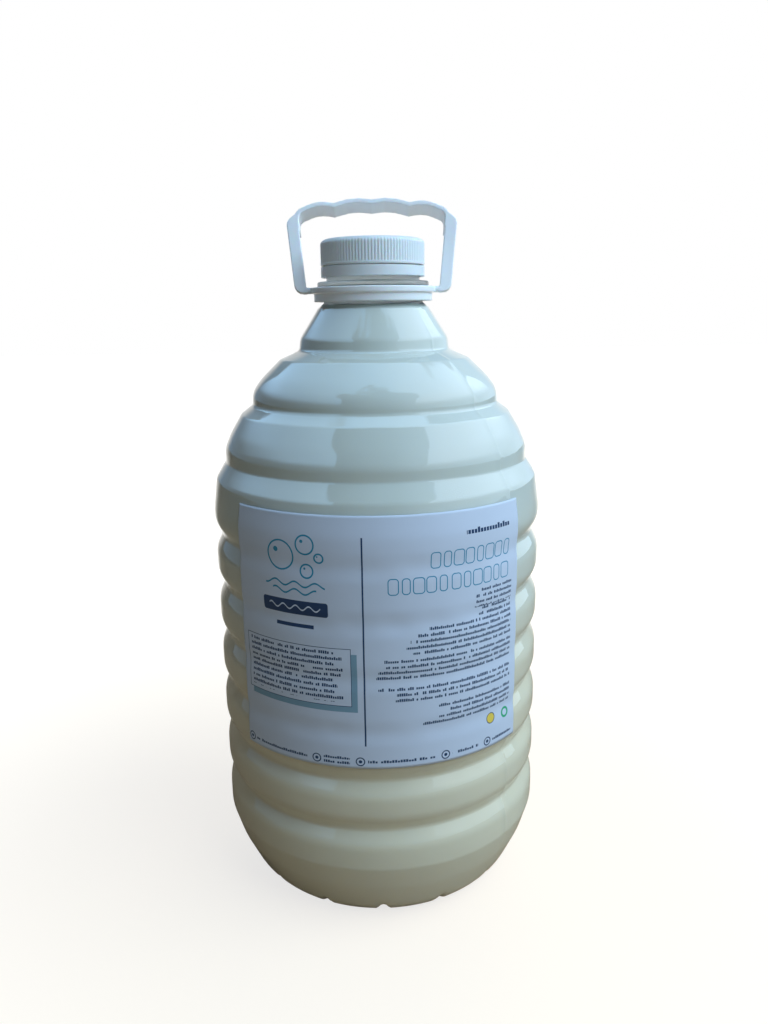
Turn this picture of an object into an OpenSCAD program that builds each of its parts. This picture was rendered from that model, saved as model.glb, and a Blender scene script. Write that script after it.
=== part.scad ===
// Five litre blow-moulded detergent bottle, filled, with a screw cap, a tamper band left on the
// neck, a fold-up carrying handle on a ring under the neck ledge, and a wrap label.
// Millimetres. The origin is the middle of the base, +Z is up and the label faces -Y.

/* [Body] */
// Radius of the body over the ribs
body_r = 82; // [76:0.5:88]
// Wall thickness of the blown body
wall = 0.6; // [0.5:0.1:1]
// Height at which the body reaches its full width
full_z = 36.7; // [33:0.1:42]
// Height at which the heel meets the lower body
low_z = 24; // [20:0.5:27]
// Top of the straight side, where the shoulder starts
side_top_z = 196; // [192:0.5:202]

/* [Base] */
// Outer radius of the flat ring that the bottle stands on
stand_r = 54.2; // [51:0.1:57]
// Radius of the heel curve outside the standing ring
heel_r = 20; // [16:0.5:22]
// Slope of the lower body above the heel, in degrees from flat
heel_slope = 65; // [62:1:67]
// Radius of the corner inside the standing ring
land_r = 48; // [45:0.5:49]
// Height of the hollow under the base
punt_h = 12; // [8:0.5:16]
// Radius of the flat middle of that hollow
punt_r = 30; // [24:1:32]
// Number of flutes around the base
flute_count = 15; // [9:1:18]
// Radius of a flute's round section
flute_r = 2.8; // [2.2:0.1:3.2]
// Depth of a flute
flute_depth = 2; // [1.6:0.1:2.2]

/* [Ribs] */
// Number of ring grooves around the body
groove_count = 6; // [4:1:6]
// Height of the lowest groove
groove_z = 55.8; // [53:0.1:58]
// Distance from one groove to the next
groove_pitch = 25.46; // [24:0.02:25.6]
// Width of a groove at the body's surface
groove_w = 14.5; // [12:0.5:16]
// Depth of a groove
groove_depth = 3.8; // [2.5:0.1:4.5]

/* [Shoulder] */
// Radius of the lowest waist
waist_1_r = 75; // [72:0.1:77]
// Height of the lowest waist
waist_1_z = 218.5; // [216:0.1:221]
// Radius of the middle waist
waist_2_r = 60.6; // [58:0.1:63]
// Height of the middle waist
waist_2_z = 245.3; // [243:0.1:247]
// Radius of the top waist
waist_3_r = 36.8; // [35:0.1:39]
// Height of the top waist
waist_3_z = 270.9; // [269:0.1:273]
// Radius of the edge where the top cone turns in to the neck
cone_r = 27; // [26:0.1:28]
// Height of that edge
cone_z = 290.6; // [289:0.1:291]

/* [Neck] */
// Radius of the neck below the ledge
neck_r = 23.8; // [23.4:0.1:24.2]
// Height at which the neck starts
neck_z = 293.2; // [292.8:0.1:293.4]
// Radius of the bore through the neck
bore_r = 20.3; // [19.5:0.1:20.8]
// Radius of the neck under the cap, between the threads
finish_r = 22.5; // [22.2:0.1:22.7]
// Height of the ledge's lower face
ledge_z = 300.7; // [300.5:0.1:302]
// Thickness of the ledge
ledge_t = 2.2; // [1.8:0.1:2.6]
// Radius of the ledge
ledge_r = 26.9; // [26:0.1:27.5]
// Height of the neck above the ledge
finish_h = 16.9; // [16.5:0.1:18]
// How far the bead that keeps the tamper band on stands out
bead_out = 0.8; // [0.6:0.1:0.9]

/* [Cap] */
// Outer radius of the cap and of the tamper band
cap_r = 25; // [24.7:0.1:25.4]
// Height of the cap without the tamper band
cap_h = 12.2; // [11.8:0.1:12.6]
// Wall of the cap and of the band
cap_wall = 1.3; // [1.1:0.1:1.5]
// Thickness of the cap's top
cap_top_t = 1.6; // [1.2:0.1:2]
// Radius of the rounded edge around the cap's top
cap_round = 2.5; // [1.5:0.1:3]
// Number of grip ribs around the cap
rib_count = 104; // [60:4:120]
// How far the ribs stand out
rib_out = 0.4; // [0.3:0.05:0.5]
// Height of the plain strip below the ribs
plain_h = 1; // [0.8:0.1:2]
// Height from the ribs' top ends to the cap's top
rib_top = 1.4; // [1.2:0.1:2.5]
// Thickness of the liner that seals on the neck
liner_t = 1; // [0.8:0.1:1.4]
// Height of the tamper band
band_h = 4.8; // [4.4:0.1:5.2]
// Width of the slit between the cap and the band
slit = 0.5; // [0.3:0.1:0.8]

/* [Handle] */
// Thickness of the ring's flange and of the arms
plate_t = 2.8; // [2.4:0.1:3.2]
// Radius of the flange
flange_r = 29.7; // [29.3:0.1:29.9]
// Radius of the skirt under the flange
skirt_r = 28.6; // [28.2:0.1:28.8]
// Height of the ring with its skirt
skirt_h = 6.8; // [6:0.1:7]
// Wall of the skirt and of the collar inside it
skirt_t = 1.6; // [1.2:0.1:1.8]
// Distance from the bottle's axis to the middle of each twist strap
strap_x = 31; // [30.8:0.1:31.2]
// How far the handle leans back from upright, in degrees
lean = 20; // [10:1:30]
// Distance from the axis to an arm's inner edge at the bottom
arm_x = 32.2; // [32:0.1:32.6]
// Width of an arm
arm_w = 5.5; // [5:0.1:6]
// How far each arm splays outwards over its height
arm_splay = 3.5; // [2.5:0.1:4]
// Height of the grip's underside above the straps, at its middle
grip_h = 43.5; // [42:0.1:46]
// Thickness of the grip
grip_t = 2.2; // [1.8:0.1:2.8]
// Width of the grip, front to back
grip_w = 11.5; // [10:0.1:14]
// Width of one finger wave
finger_w = 18.4; // [18:0.1:18.8]

/* [Label] */
// Height of the label's lower edge
label_z = 89.6; // [88.8:0.1:92]
// Height of the label, along its surface
label_h = 116.5; // [112:0.5:118]
// Angle that the label covers around the body, in degrees
label_angle = 101; // [90:1:120]
// Turn of the label's middle from the front, in degrees
label_turn = 0.8; // [-5:0.1:5]
// Thickness of the label
label_t = 0.2; // [0.1:0.05:0.4]

/* [Contents] */
// Height of the liquid's surface
fill_z = 292; // [270:1:292]

/* [Hidden] */
$fn = 120;
// Largest angle that one straight step of a round edge covers
arc_step = 12;
// Clearance between pieces that are fitted and do not move
fit_gap = 0.1;
// Clearance between pieces that turn on each other
run_gap = 0.3;
// Depth by which solids of one piece run into each other
bite = 0.5;
// Angles up the heel at which the straight parts of a flute lie square to it
flute_turns = [-12, 12, 36];

// Rounding radii of the body's outline, from the base up
punt_round = 16;
land_round = 5;
low_round = 30;
full_round = 8;
rim_round = 12;
root_round = 2.5;
shoulder_round = 30;
brow_round = 4;
waist_round = 2.5;
neck_round = 1.5;
// Shape of a shoulder tier, as shares of the way in and up from its waist to the next
tier_rim = [0, 0.24];
tier_mid = [0.22, 0.505];
tier_brow = [0.6, 0.84];
// The lowest tier and the top cone have fewer bends
side_brow = [0.286, 0.644];
cone_rim = [0.07, 0.285];

// Height of the bead on the neck, as a share of how far it stands out
bead_share = 2.5;
// Small bevel around the lower edges of the cap and the band
edge = 0.4;
// Shape of a grip rib of the cap, as [share of the pitch, share of the rib's height]
rib_shape = [[0, 0], [0.3, 1], [0.55, 1], [0.85, 0]];
// How far a tab of the ring, and an arm's foot, stop short of the twist strap's middle
strap_half = 0.8;
// Angle from the hinge line at which a tab leaves the flange, its roundings there and at its end,
// and the length of its narrow end
tab_turn = 38;
tab_root_round = 6;
tab_end_round = 3;
tab_end = 2;
// Finger waves: [across in waves, up from the grip's middle, rounding]
wave_top = [0.5, 1.9, 28];
wave_foot = [1, -1.7, 2.5];
side_wave_top = [1.41, -0.2, 14];
cusp_round = 2.5;
// Corners at the top of an arm, as [out from its inner edge, up from the grip's middle, rounding]
grip_corner = [3.8, -4.7, 3.5];
grip_end = [3.2, -12, 0];
arm_corner = [0.7, -8.3, 4.5];
arm_tip = [1.5, -1.5, 3];
arm_notch = [0.8, -3.2, 0];
arm_inner = [-0.1, -12.5, 0];
foot_round = 1.2;

finish_top = ledge_z + ledge_t + finish_h;
cap_top = finish_top + liner_t + cap_top_t;
cap_z = cap_top - cap_h;
band_z = cap_z - slit - band_h;
cap_bore = cap_r - cap_wall;
rib_root = cap_r - fit_gap / 2 - rib_out;
strap_z = ledge_z - run_gap - plate_t / 2;
strap_r = plate_t / 2 - fit_gap;
ring_bore = neck_r + run_gap;
tab_x = strap_x - strap_half;
plate_x = strap_x + strap_half;

// Paths are lists of [across, up, rounding radius]. They are moved sideways and then rounded.
function spot(p) = [p[0], p[1]];
function unit(v) = v / norm(v);
function left_of(v) = [-v[1], v[0]];
function turn_of(a, b) = a[0] * b[1] - a[1] * b[0];
function spin(v, t) = [v[0] * cos(t) - v[1] * sin(t), v[0] * sin(t) + v[1] * cos(t)];
function along(path, i) = unit(spot(path[i + 1]) - spot(path[i]));

// The same path, moved to its left by d, with every rounding kept concentric
function moved(path, d) = [
    for (i = [0:len(path) - 1])
        let (
            a = along(path, max(i - 1, 0)),
            b = along(path, min(i, len(path) - 2)),
            side = (left_of(a) + left_of(b)) / (1 + a * b),
            round_r = path[i][2]
        )
        [
            path[i][0] + d * side[0],
            path[i][1] + d * side[1],
            round_r == 0 ? 0 : max(0.05, round_r - d * sign(turn_of(a, b)))
        ]
];

// Points of the arc that rounds corner p between directions a and b
function bend(p, a, b) =
    let (t = atan2(turn_of(a, b), a * b), r = p[2], steps = ceil(abs(t) / arc_step))
    r == 0 || abs(t) < 0.2 ? [spot(p)] :
    let (start = spot(p) - a * r * tan(abs(t) / 2), centre = start + left_of(a) * r * sign(t))
    [for (n = [0:steps]) centre + spin(start - centre, t * n / steps)];

// Length that the rounding of corner i takes from the straight stretches beside it
function taken(path, i) =
    i == 0 || i == len(path) - 1 ? 0 :
    let (a = along(path, i - 1), b = along(path, i))
    path[i][2] * tan(abs(atan2(turn_of(a, b), a * b)) / 2);

// Share of its radius that a rounding keeps, so that two of them never meet on a short stretch
function kept(path, i) = min([
    for (k = [i - 1, i])
        let (stretch = norm(spot(path[k + 1]) - spot(path[k])))
        stretch / max(stretch, taken(path, k) + taken(path, k + 1))
]);

function rounded(path) = [
    for (i = [0:len(path) - 1])
        let (p = path[i])
        each i == 0 || i == len(path) - 1 ? [spot(p)] :
            bend([p[0], p[1], p[2] * kept(path, i)], along(path, i - 1), along(path, i))
];

function backwards(list) = [for (i = [len(list) - 1:-1:0]) list[i]];
function between(a, b, share, round_r) = [a[0] + (b[0] - a[0]) * share[0], a[1] + (b[1] - a[1]) * share[1], round_r];

// One ring groove of the body
function groove(z) = [
    [body_r, z - groove_w / 2, rim_round],
    [body_r - groove_depth, z, root_round],
    [body_r, z + groove_w / 2, rim_round]
];

// One bulging tier of the shoulder, from waist a to waist b
function tier(a, b) = [
    between(a, b, tier_rim, rim_round),
    between(a, b, tier_mid, shoulder_round),
    between(a, b, tier_brow, brow_round),
    [b[0], b[1], waist_round]
];

heel_corner = stand_r + heel_r * tan(heel_slope / 2);
side_top = [body_r, side_top_z];
waist_1 = [waist_1_r, waist_1_z];
waist_2 = [waist_2_r, waist_2_z];
waist_3 = [waist_3_r, waist_3_z];
cone_top = [cone_r, cone_z];

base_path = [
    [0, punt_h, 0],
    [punt_r, punt_h, punt_round],
    [land_r, 0, land_round],
    [heel_corner, 0, heel_r],
    [heel_corner + low_z / tan(heel_slope), low_z, low_round],
    [body_r, full_z, full_round]
];
side_path = [for (n = [0:groove_count - 1]) each groove(groove_z + n * groove_pitch)];
shoulder_path = concat(
    [
        [body_r, side_top_z, shoulder_round],
        between(side_top, waist_1, side_brow, rim_round / 2),
        [waist_1_r, waist_1_z, waist_round]
    ],
    tier(waist_1, waist_2),
    tier(waist_2, waist_3),
    [between(waist_3, cone_top, cone_rim, rim_round / 2), [cone_r, cone_z, waist_round]]
);
body_path = concat(base_path, side_path, shoulder_path, [[neck_r, neck_z, neck_round], [neck_r, ledge_z + bite, 0]]);

// The cavity follows the outline a wall's thickness inside it, and narrows to the bore at the neck
function cavity_path(gap) =
    let (inner = moved(body_path, wall + gap), last = len(inner) - 3)
    concat(
        [for (i = [0:last]) inner[i]],
        [[bore_r - gap, neck_z, waist_round], [bore_r - gap, finish_top + bite, 0]]
    );

// Solid of revolution under a path that starts and ends away from or on the axis
module turned(path) {
    points = rounded(path);
    top = points[len(points) - 1];
    rotate_extrude() polygon(concat(points, [[0, top[1]]]));
}

// The flutes run from under the base over the standing ring and up the heel. Each is cut by a round
// rod bent in a few straight parts; the first and the last part leave the surface by themselves.
// A rod of larger radius is also longer, so that a cavity cut by it keeps a wall around the flute.
module flutes(r) {
    arc_r = heel_r + flute_r - flute_depth;
    reach = arc_r * tan(acos(1 - flute_depth / heel_r)) + r - flute_r;
    for (n = [0:flute_count - 1])
        rotate(n * 360 / flute_count - 90)
            translate([stand_r, 0, heel_r])
                for (turn = flute_turns)
                    rotate([0, -turn, 0])
                        translate([0, 0, -arc_r])
                            rotate([0, 90, 0]) cylinder(h = 2 * reach, r = r, center = true);
}

module cavity(gap) {
    difference() {
        turned(cavity_path(gap));
        flutes(flute_r + wall + gap);
    }
}

module bottle() {
    color([0.85, 0.92, 0.95, 0.45]) difference() {
        union() {
            difference() {
                turned(body_path);
                flutes(flute_r);
            }
            translate([0, 0, ledge_z]) cylinder(h = ledge_t, r = ledge_r);
            translate([0, 0, ledge_z]) cylinder(h = finish_top - ledge_z, r = finish_r);
            bead();
        }
        cavity(0);
    }
}

// Bead on the neck that the tamper band's lip cannot pass
module bead() {
    foot = band_z + band_h / 2;
    rotate_extrude() polygon([
        [finish_r - bite, foot],
        [finish_r, foot],
        [finish_r + bead_out, foot + bead_out / 2],
        [finish_r + bead_out, foot + bead_out],
        [finish_r, foot + bead_share * bead_out],
        [finish_r - bite, foot + bead_share * bead_out]
    ]);
}

// The contents fill the cavity up to their surface in the neck cone
module detergent() {
    color([0.93, 0.92, 0.84]) intersection() {
        cavity(fit_gap);
        cylinder(h = fill_z, r = body_r);
    }
}

// The label lies on the crests, bridges the grooves and bends in over the shoulder's start
module label() {
    over = label_h - (side_top_z - label_z);
    run = unit(spot(shoulder_path[1]) - side_top) * over;
    foot = [body_r, label_z, 0];
    path = over > 0 ?
        [foot, [body_r, side_top_z, shoulder_round], [body_r + run[0], side_top_z + run[1], 0]] :
        [foot, [body_r, label_z + label_h, 0]];
    inner = rounded(moved(path, -fit_gap));
    outer = rounded(moved(path, -fit_gap - label_t));
    color("white")
        rotate(-90 + label_turn - label_angle / 2)
            rotate_extrude(angle = label_angle) polygon(concat(inner, backwards(outer)));
}

// The band keeps its place under the bead by an inward lip
module tamper_band() {
    lip_r = finish_r + run_gap;
    lip_h = band_h / 2 - run_gap;
    color([0.93, 0.96, 0.98]) translate([0, 0, band_z]) rotate_extrude() polygon(rounded([
        [lip_r, 0, 0],
        [cap_r - edge, 0, 0],
        [cap_r, edge, 0],
        [cap_r, band_h, 0],
        [cap_bore, band_h, 0],
        [cap_bore, lip_h, 0],
        [lip_r, lip_h / 2, 0]
    ]));
}

// Outline of the ribbed band
function rib_outline() = [
    for (n = [0:rib_count - 1], part = rib_shape)
        let (t = (n + part[0]) * 360 / rib_count, r = rib_root + part[1] * rib_out)
        [r * cos(t), r * sin(t)]
];

module cap() {
    color([0.93, 0.96, 0.98]) translate([0, 0, cap_z]) difference() {
        intersection() {
            turned([[0, 0, 0], [cap_r, 0, edge], [cap_r, cap_h, cap_round], [0, cap_h, 0]]);
            union() {
                cylinder(h = cap_h, r = rib_root - fit_gap);
                cylinder(h = plain_h, r = cap_r + bite);
                translate([0, 0, plain_h]) linear_extrude(cap_h - plain_h - rib_top) polygon(rib_outline());
            }
        }
        translate([0, 0, -bite]) cylinder(h = cap_h - cap_top_t + bite, r = cap_bore);
    }
}

module cap_liner() {
    color([0.85, 0.88, 0.9]) translate([0, 0, finish_top]) cylinder(h = liner_t, r = cap_bore - run_gap);
}

// The ring sits under the ledge; its tabs run out to the round twist straps
module handle_ring() {
    tab_y = flange_r * sin(tab_turn);
    tab_root = flange_r * cos(tab_turn);
    tab_neck = tab_x - tab_end;
    color([0.93, 0.96, 0.98]) translate([0, 0, strap_z]) difference() {
        union() {
            translate([0, 0, -plate_t / 2]) cylinder(h = plate_t, r = flange_r);
            translate([0, 0, plate_t / 2 - skirt_h]) cylinder(h = skirt_h, r = skirt_r);
            for (side = [0, 180]) rotate(side) {
                translate([0, 0, -plate_t / 2]) linear_extrude(plate_t) polygon(rounded([
                    [0, -tab_y, 0],
                    [tab_root, -tab_y, tab_root_round],
                    [tab_neck, -plate_t, tab_end_round],
                    [tab_x, -plate_t / 2, 0],
                    [tab_x, plate_t / 2, 0],
                    [tab_neck, plate_t, tab_end_round],
                    [tab_root, tab_y, tab_root_round],
                    [0, tab_y, 0]
                ]));
                translate([tab_neck, 0, 0]) rotate([0, 90, 0]) cylinder(h = strap_x - tab_neck, r = strap_r);
            }
        }
        translate([0, 0, -skirt_h]) cylinder(h = 2 * skirt_h, r = ring_bore);
        translate([0, 0, -skirt_h]) difference() {
            cylinder(h = skirt_h - plate_t / 2, r = skirt_r - skirt_t);
            translate([0, 0, skirt_h / 2]) cylinder(h = skirt_h, r = ring_bore + skirt_t / 2);
        }
    }
}

// Points of the handle, drawn flat: across from the middle and up from the straps
function wave(p) = [p[0] * finger_w, grip_h + p[1], p[2]];
function by_arm(p, out) = [arm_x + out + p[0], grip_h + p[1], p[2]];
function mirrored(path) = [for (p = path) [-p[0], p[1], p[2]]];

// Right half of the grip's underside, out from the middle cusp, and then the whole of it
half_grip = [wave(wave_top), wave(wave_foot), wave(side_wave_top), by_arm(grip_corner, 0), by_arm(grip_end, 0)];
underside = concat(backwards(mirrored(half_grip)), [[0, grip_h, cusp_round]], half_grip);

// Flat arm in the plane of the handle, with its foot on the twist strap
module arm() {
    linear_extrude(plate_t, center = true) polygon(rounded([
        [plate_x, -plate_t / 2, 0],
        [arm_x + arm_w, -plate_t / 2, arm_corner[2]],
        by_arm(arm_corner, arm_w + arm_splay),
        by_arm(arm_tip, 0),
        by_arm(arm_notch, 0),
        by_arm([grip_corner[0], grip_corner[1], 1], 0),
        by_arm(arm_inner, arm_splay),
        [arm_x + fit_gap, plate_t / 2, foot_round],
        [plate_x, plate_t / 2, 0]
    ]));
    translate([strap_x, 0, 0]) rotate([0, 90, 0]) cylinder(h = arm_w / 2, r = strap_r);
}

// Arms and grip, drawn flat with the hinge line on X, then stood up and leaned back
module handle_grip() {
    color([0.93, 0.96, 0.98]) translate([0, 0, strap_z]) rotate([90 - lean, 0, 0]) {
        arm();
        mirror([1, 0, 0]) arm();
        translate([0, 0, plate_t / 2 - grip_w]) linear_extrude(grip_w)
            polygon(concat(rounded(underside), backwards(rounded(moved(underside, grip_t)))));
    }
}

bottle();
detergent();
label();
tamper_band();
cap();
cap_liner();
handle_ring();
handle_grip();
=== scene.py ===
"""Dresses the five litre detergent bottle: clear blown shell, milky contents, label, cap and handle."""

from math import atan2, ceil, copysign, cos, inf, pi, radians, sin, sqrt, tan, tau

import bmesh
import bpy
from bpy.props import FloatProperty, FloatVectorProperty, IntProperty, PointerProperty
from mathutils import Matrix, Vector, noise


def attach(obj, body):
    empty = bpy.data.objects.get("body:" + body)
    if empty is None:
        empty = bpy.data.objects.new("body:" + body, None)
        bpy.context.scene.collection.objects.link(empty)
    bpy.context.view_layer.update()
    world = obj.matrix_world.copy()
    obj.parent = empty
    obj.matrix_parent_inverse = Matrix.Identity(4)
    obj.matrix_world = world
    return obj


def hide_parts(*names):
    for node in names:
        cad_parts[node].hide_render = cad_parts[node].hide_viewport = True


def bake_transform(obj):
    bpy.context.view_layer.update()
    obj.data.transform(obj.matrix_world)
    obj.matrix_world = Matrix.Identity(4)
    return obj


bl_info = {
    "name": "Detergent Bottle",
    "version": (1, 0, 0),
    "blender": (4, 5, 0),
    "location": "3D View > Sidebar > Bottle",
    "description": "Dresses the solids of a five litre detergent bottle with plastics, liquid and print",
    "category": "Object",
}

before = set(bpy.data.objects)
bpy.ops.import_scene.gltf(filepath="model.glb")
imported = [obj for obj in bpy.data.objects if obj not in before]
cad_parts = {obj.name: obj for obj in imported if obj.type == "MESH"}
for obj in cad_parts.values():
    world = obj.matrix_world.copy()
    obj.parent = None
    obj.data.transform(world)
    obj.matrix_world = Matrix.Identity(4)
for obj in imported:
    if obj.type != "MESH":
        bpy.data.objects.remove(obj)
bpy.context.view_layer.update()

# Outlines are drawn in millimetres and turned into metres as each mesh is made
MM = 0.001
TINY = 1e-6

# Least radius of a rounding, the turn that counts as straight, and the turns between an arc's points
LEAST_ROUND = 0.05
STRAIGHT_TURN = radians(0.2)
ARC_STEP = radians(6)
INNER_ARC_STEP = radians(8)

# Longest stretch between two rows of vertices, and how many columns there are
BODY_ROWS, CAP_ROWS, LABEL_ROWS = 6.0, 1.6, 1.3
FLUTE_COLUMNS, BODY_COLUMNS, BAND_COLUMNS, LABEL_COLUMNS = 360, 120, 208, 168
RIB_COLUMNS, PLAIN_RIB_COLUMNS = 8, 2

# Twist straps: height, radius, ends from the bottle's axis, the part that twists, and how ends widen
STRAP_Z = 299.0
STRAP_R = 1.5
STRAP_ENDS = (28.0, 34.2)
STRAP_TAPER = (0.45, 3)
STRAP_STEPS = 20
STRAP_SIDES = 20

# Outline of the blown body, the same as the solid's: radii and heights from the base up
BODY_R = 82.0
SIDE_TOP = (82.0, 196.0)
STAND_R = 54.2
HEEL_R = 20.0
HEEL_SLOPE = radians(65)
LOW_Z = 24.0
FULL_Z = 36.7
LAND_R = 48.0
PUNT = (30.0, 12.0)
GROOVE_COUNT = 6
GROOVE_Z = 55.8
GROOVE_PITCH = 25.46
GROOVE_W = 14.5
GROOVE_DEPTH = 3.8
WAIST_1 = (75.0, 218.5)
WAIST_2 = (60.6, 245.3)
WAIST_3 = (36.8, 270.9)
CONE = (27.0, 290.6)
NECK_R = 23.8
NECK_Z = 293.2
FLUTE_COUNT = 15
FLUTE_R = 2.8
FLUTE_DEPTH = 2.0
# Angles up the heel between which a flute keeps its depth, and how far past them it can still reach.
# Its edge is eased over a stretch, the cut falls away beside it by a slope, and all end below a height
FLUTE_TURNS = (radians(-12), radians(36))
FLUTE_RUN_OUT = radians(35)
FLUTE_EASE = 0.9
FLUTE_SLOPE = 2
FLUTE_TOP = 16.0

# Uneven wall: waves round the axis and upwards, gaps to the base and the neck, and the fade at both
WOBBLE_ROUND, WOBBLE_UP = 1.9, 26.0
WOBBLE_FOOT, WOBBLE_HEAD, WOBBLE_FADE = 20.0, 4.0, 20.0

# Neck, with its ledge, bead and threads
BORE_R = 20.3
FINISH_R = 22.5
FINISH_TOP = 319.8
LEDGE_Z = 300.7
LEDGE_T = 2.2
LEDGE_R = 26.9
BEAD_Z = 307.3
BEAD_OUT = 0.8
BEAD_H = 2.0
THREAD_LEAD = 12.0
THREAD_STARTS = 3
THREAD_SWEEP = radians(150)
THREAD_STEP = radians(4)
THREAD_HALF = 0.75
THREAD_BITE = 0.3
NECK_THREAD_Z = 311.4
CAP_THREAD_Z = 311.6
CAP_THREAD_TURN = radians(60)
# A thread's ridge: the flank's share of its height, the crest's share of its half width, the shares of
# both that its ends keep, and the steps in which they grow
THREAD_FLANK = 0.35
THREAD_CREST = 0.4
THREAD_END = (0.02, 0.3)
THREAD_GROWTH = 4

# Cap and tamper band
CAP_R = 25.0
CAP_Z = 310.2
CAP_TOP = 322.4
CAP_BORE = 23.7
CAP_PANEL = 1.6
CAP_ROUND = 2.5
CAP_RIM = (4.4, 4.8)
CAP_DISH = 0.3
BAND_Z = 304.9
BAND_H = 4.8
BAND_LIP = (1.0, 1.05)
BAND_SLOPE_Z = 2.1
RUN_GAP = 0.3
# Ribs: height, inset of the crests, plain bands below and above, step at the foot, rows without full
# relief, fade at the top, roundness, and how deep inside the cap's edge its side wall reaches
RIB_OUT = 0.2
RIB_INSET = 0.05
RIB_FOOT = 1.0
RIB_HEAD = 1.4
RIB_STEP = 0.5
RIB_START = (0.2, 0.3)
RIB_FADE = 0.8
RIB_POWER = 0.7
SIDE_DEPTH = 1.5

# Rounding radii of the body's outline
PUNT_ROUND, LAND_ROUND, LOW_ROUND, FULL_ROUND = 16.0, 5.0, 30.0, 8.0
RIM_ROUND, ROOT_ROUND, SHOULDER_ROUND, BROW_ROUND = 12.0, 2.5, 30.0, 4.0
WAIST_ROUND, NECK_ROUND = 2.5, 1.5
TIER_RIM, TIER_MID, TIER_BROW = (0, 0.24), (0.22, 0.505), (0.6, 0.84)
SIDE_BROW, CONE_RIM = (0.286, 0.644), (0.07, 0.285)

# Small roundings, first those of the ledge's three corners
LEDGE_ROUNDS = (0.3, 0.4, 0.8)
LIP_ROUND, BORE_ROUND, DISH_ROUND = 0.5, 0.4, 0.3
BAND_ROUND, EDGE_ROUND, RIB_ROUND = 0.25, 0.2, 0.15

# Azimuths are measured from the label's side, towards the right
PARTING = radians(48.3)
PARTING_OFFSETS = (-0.3, -0.15, 0.0, 0.15, 0.3)
PARTING_WIDTH = radians(0.3)

# Label
LABEL_Z = 89.6
LABEL_H = 116.5
LABEL_TURN = radians(0.8)
LABEL_HALF = radians(50.5)
LABEL_GAP = 0.1
LABEL_T = 0.2
# Its sag into the grooves varies by a share, in waves round the axis and upwards
RIPPLE, RIPPLE_ROUND, RIPPLE_UP, RIPPLE_SEED = 0.7, 6, 20, 3.1

# Top of the liquid, and the hollow of its surface: inwards from the wall, and down
FILL_Z = 292.0
MENISCUS = ((1.2, 0.8), (4.0, 1.2))

# Print: soft edges, thin line, inked share of a letter, share of blanks, chances up to which letters are
# low or grow and how low, a column that no letter has, tone and most of paper's shade, and right end
BOX_SOFT = 0.06
WAVE_SOFT = 0.08
PLAIN_LINE = 0.3
LETTER_SHARE = 0.78
BLANK_SHARE = 0.13
LOW_LETTERS = (0.55, 0.75, 0.7)
LINE_KEY = 7.5
PAPER_SHADE, PAPER_CLOUDS = 0.93, 0.35
TEXT_RIGHT = 68.6

# Heights in metres between which the liquid turns from its warm low tone to milky, and their drift. The
# warm low tone is partly painted warm light from the floor
WARM_LOW_SPAN = (0.09, 0.22)
DRIFT = 0.03
# Height where the shell's waves begin to fade, roughness added at its neck, and mottle of the plastics
WAVES_FADE_Z = 286.0
FROST = 0.34
MOTTLE = 0.06
# Least and most roughness of the smeared shell and of the streaked plastics
SMEARED = (0.02, 0.09)
STREAKED = (0.34, 0.48)

# Camera: turns, place in metres, and its lens in pixels of a picture of this height
YAW, TILT, ROLL = radians(0.51), radians(13.567), radians(-0.85)
CAMERA_PLACE = (0, -0.41585, 0.28846)
LENS_PIXELS = 827.7
PICTURE_PIXELS = 1024
SENSOR = 36.0

# Lamps: name, place, size, power and colour. All aim at the bottle's middle
AIM = (0, 0, 0.17)
LAMPS = (
    ("Sky window", (1.08, -0.54, 1.32), (1.8, 1.4), 35.0, (0.57, 0.78, 0.97)),
    ("Rear window", (0.35, 1.5, 0.45), (1.4, 1.1), 12.0, (0.85, 0.93, 1.0)),
)

# Floor: half its width, its tone, and the white that the camera sees, which grows with the distance: its
# dimming near the object is a painted contact shadow
FLOOR_HALF = 6.0
FLOOR_TONE = (0.38, 0.27, 0.17)
FLOOR_PAINTED_SHADOW_SPAN = (0.07, 0.6)
FLOOR_WHITE = (0.74, 1.0)

# World, in directions of length 1: x is right, y is back and z is up. The bottle mirrors a sky with a
# dark tree in front, over a room. Light, room and sky each have a left and a right colour
BACK_OF_FLOOR = (0.75, 0.95)
BACK_OF_WORLD = (0.82, 0.93)
LIGHT_LEAN = (0.8, 0.45)
LIGHT_SPAN, LIGHT = (-0.3, 1.0), ((0.070, 0.074, 0.074), (0.22, 0.31, 0.42))
ROOM_SPAN, ROOM = (0.1, 0.9), ((0.3, 0.45, 0.62), (1.3, 1.5, 1.7))
SKY_SPAN, SKY = (-0.2, 0.9), ((1.5, 2.5, 3.6), (3.0, 3.4, 3.9))
SKYLINE = (0.15, 0.5)
TREE_X, TREE_HALF, TREE_TOP, TREE_POWER = 0.03, 0.54, 0.93, 4.0
TREE_EDGE = (0.9, 1.1)
LEAVES = 1.5
WHITE = (1, 1, 1)


def length(name, description, value):
    return FloatProperty(name=name, description=description, default=value, unit="LENGTH")


def tint(name, description, value):
    return FloatVectorProperty(
        name=name, description=description, default=value, subtype="COLOR", size=3, min=0, max=1
    )


class BottleSizes(bpy.types.PropertyGroup):
    """Sizes that a user would change."""

    wall: length("Wall", "Wall of the blown shell", 0.0006)
    soak: length("Soak", "How far the liquid's surface lies inside the wall", 0.0002)
    wobble: length("Wobble", "Unevenness of the blown surface", 0.00018)
    parting: length("Parting line", "Height of the mould's parting line", 0.00012)
    ribs: IntProperty(name="Ribs", description="Grip ribs around the cap", default=104, min=40)
    thread: length("Thread", "Height of the thread's ridge", 0.00085)
    label_sink: length("Label sink", "How far the label sags into the grooves", 0.0005)
    voxel: length("Handle grain", "Mesh size that rounds the handle's edges", 0.00032)


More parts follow.
